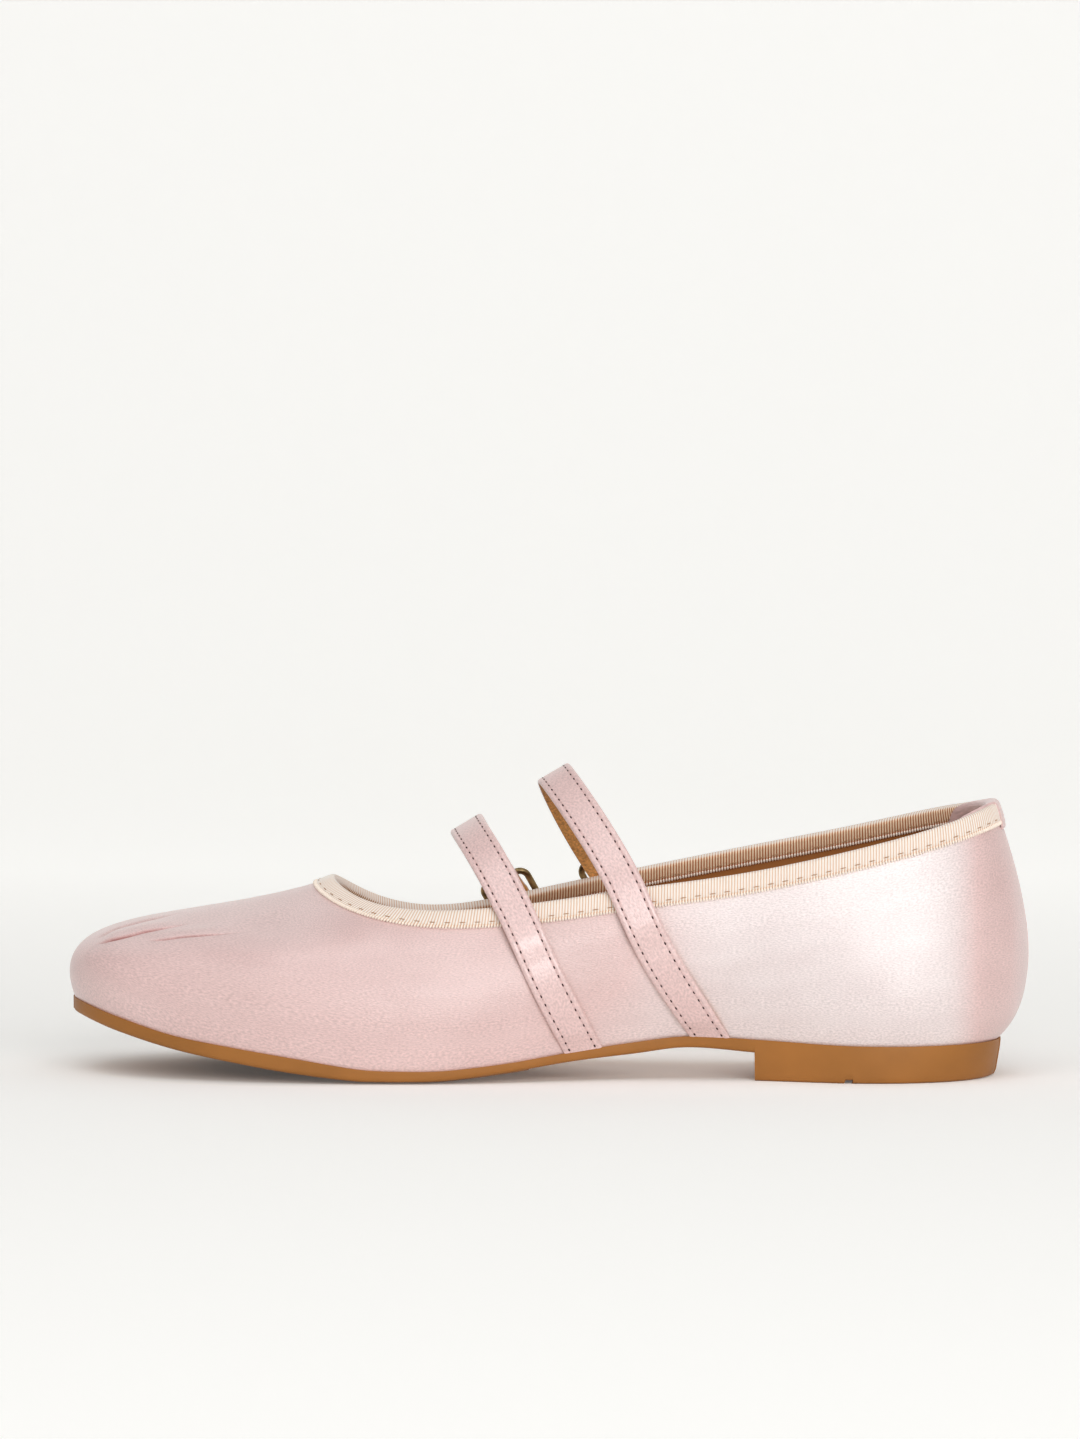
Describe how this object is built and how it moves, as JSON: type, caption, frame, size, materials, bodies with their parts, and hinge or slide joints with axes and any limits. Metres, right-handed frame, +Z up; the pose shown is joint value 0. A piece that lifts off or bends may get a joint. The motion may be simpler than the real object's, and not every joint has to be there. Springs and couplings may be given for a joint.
{
  "type": "ballet flat",
  "caption": "Right ballet flat in satin with a ribbon-bound topline, two buckled instep straps, leather lining and a moulded rubber sole with a low heel",
  "frame": {"origin": "on the floor under the middle of the shoe's box", "axes": "X runs from heel to toe, Y to the inner side of the foot, Z up"},
  "size_m": [0.2488, 0.0804, 0.0802],
  "materials": {
    "sole_rubber": "smooth moulded",
    "lining_leather": "matte",
    "satin": "satin weave",
    "ribbon": "ribbed ribbon",
    "buckle_metal": "antique"
  },
  "bodies": {
    "root": {"outsole": "sole_rubber", "insole": "lining_leather", "upper": "satin", "collar_binding": "ribbon", "back_tab": "satin", "strap_front": "satin", "strap_rear": "satin", "buckle_strap_front": "satin", "buckle_strap_rear": "satin", "buckle_front": "buckle_metal", "buckle_rear": "buckle_metal", "buckle_prong_front": "buckle_metal", "buckle_prong_rear": "buckle_metal"}
  },
  "joints": []
}
